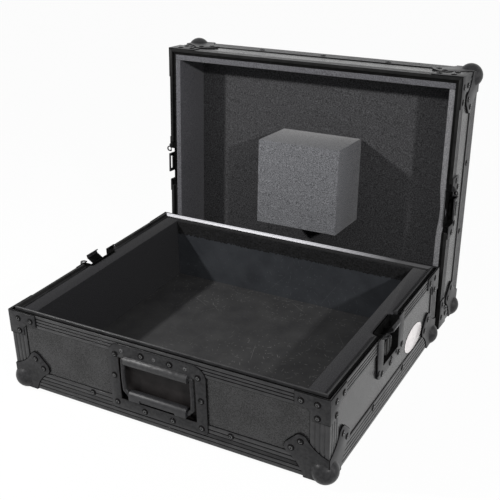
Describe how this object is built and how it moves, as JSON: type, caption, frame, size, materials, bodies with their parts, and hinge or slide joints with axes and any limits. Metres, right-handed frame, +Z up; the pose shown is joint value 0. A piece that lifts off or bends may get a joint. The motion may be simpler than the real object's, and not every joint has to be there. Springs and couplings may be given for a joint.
{
  "type": "turntable flight case",
  "caption": "Black flight case for a turntable: a base tray with a recessed spring handle and twist latches, and a lift-off lid with a foam block, stood behind it.",
  "frame": {"origin": "on the floor, under the middle of the whole object as it stands with the lid behind the base", "axes": "+Z up, +Y from the base's front handle towards the lid, +X to the right"},
  "size_m": [0.5557, 0.5888, 0.4432],
  "materials": {
    "black_laminate": "satin",
    "black_profile": "satin",
    "black_steel": "satin",
    "rivet_black": "gloss",
    "grip_rubber": "gloss",
    "black_foam": "matte",
    "grey_foam": "matte",
    "liner": "matte",
    "badge": "gloss"
  },
  "bodies": {
    "base": {"base_floor_panel": "black_laminate", "base_front_panel": "black_laminate", "base_rear_panel": "black_laminate", "base_right_panel": "black_laminate", "base_left_panel": "black_laminate", "base_edge_angles": "black_profile", "base_corner_angles": "black_profile", "base_rim_front": "black_profile", "base_rim_rear": "black_profile", "base_rim_right": "black_profile", "base_rim_left": "black_profile", "base_rim_brackets": "black_steel", "base_ball_corners": "black_steel", "base_rivets": "rivet_black", "base_floor_liner": "liner", "base_front_foam": "black_foam", "base_rear_foam": "black_foam", "base_right_foam": "black_foam", "base_left_foam": "black_foam", "handle_plate": "black_steel", "right_latch_dish": "black_steel", "left_latch_dish": "black_steel", "base_padlock_eyes": "black_steel", "side_badge": "badge"},
    "handle": {"handle_bail": "black_steel", "handle_grip": "grip_rubber"},
    "lid": {"lid_back_panel": "black_laminate", "lid_lower_panel": "black_laminate", "lid_upper_panel": "black_laminate", "lid_right_panel": "black_laminate", "lid_left_panel": "black_laminate", "lid_edge_angles": "black_profile", "lid_corner_angles": "black_profile", "lid_rim_front": "black_profile", "lid_rim_rear": "black_profile", "lid_rim_right": "black_profile", "lid_rim_left": "black_profile", "lid_rim_brackets": "black_steel", "lid_ball_corners": "black_steel", "lid_rivets": "rivet_black", "lid_back_liner": "liner", "lid_lower_foam": "black_foam", "lid_upper_foam": "black_foam", "lid_right_foam": "black_foam", "lid_left_foam": "black_foam", "lid_foam_block": "grey_foam", "lid_keeper_dishes": "black_steel", "lid_keepers": "black_steel", "lid_padlock_eyes": "black_steel"},
    "right_hook": {"right_latch_hook": "black_steel"},
    "right_spindle": {"right_latch_spindle": "black_steel"},
    "right_wing_rear": {"right_latch_wing_rear": "black_steel"},
    "right_wing_front": {"right_latch_wing_front": "black_steel"},
    "left_hook": {"left_latch_hook": "black_steel"},
    "left_spindle": {"left_latch_spindle": "black_steel"},
    "left_wing_rear": {"left_latch_wing_rear": "black_steel"},
    "left_wing_front": {"left_latch_wing_front": "black_steel"}
  },
  "joints": [
    {"name": "handle_swing", "type": "hinge", "parent": "base", "child": "handle", "pos_m": [-0.001, -0.28496, 0.1075], "axis": [-1, 0, 0], "range_deg": [0, 90], "stiffness_Nm_per_rad": 0.12, "springref_deg": -11.46},
    {"name": "lid_lift", "type": "slide", "parent": "base", "child": "lid", "axis": [0, 0, 1], "range_m": [0, 0.16]},
    {"name": "right_twist", "type": "hinge", "parent": "base", "child": "right_spindle", "pos_m": [0.2655, -0.07221, 0.1045], "axis": [1, 0, 0], "range_deg": [0, 180]},
    {"name": "right_hook_pull", "type": "slide", "parent": "base", "child": "right_hook", "axis": [0, 0, -1], "range_m": [0, 0.006]},
    {"name": "right_wing_rear_fold", "type": "hinge", "parent": "right_spindle", "child": "right_wing_rear", "pos_m": [0.2611, -0.06701, 0.1045], "axis": [0, 0, -1], "range_deg": [0, 90]},
    {"name": "right_wing_front_fold", "type": "hinge", "parent": "right_spindle", "child": "right_wing_front", "pos_m": [0.2611, -0.07741, 0.1045], "axis": [0, 0, 1], "range_deg": [0, 90]},
    {"name": "left_twist", "type": "hinge", "parent": "base", "child": "left_spindle", "pos_m": [-0.2675, -0.07221, 0.1045], "axis": [1, 0, 0], "range_deg": [0, 180]},
    {"name": "left_hook_pull", "type": "slide", "parent": "base", "child": "left_hook", "axis": [0, 0, -1], "range_m": [0, 0.006]},
    {"name": "left_wing_rear_fold", "type": "hinge", "parent": "left_spindle", "child": "left_wing_rear", "pos_m": [-0.2631, -0.06701, 0.1045], "axis": [0, 0, 1], "range_deg": [0, 90]},
    {"name": "left_wing_front_fold", "type": "hinge", "parent": "left_spindle", "child": "left_wing_front", "pos_m": [-0.2631, -0.07741, 0.1045], "axis": [0, 0, -1], "range_deg": [0, 90]}
  ],
  "couplings": [
    {"joint": "right_hook_pull", "follows": "right_twist", "m_per_rad": 0.0019098},
    {"joint": "left_hook_pull", "follows": "left_twist", "m_per_rad": 0.0019098}
  ]
}
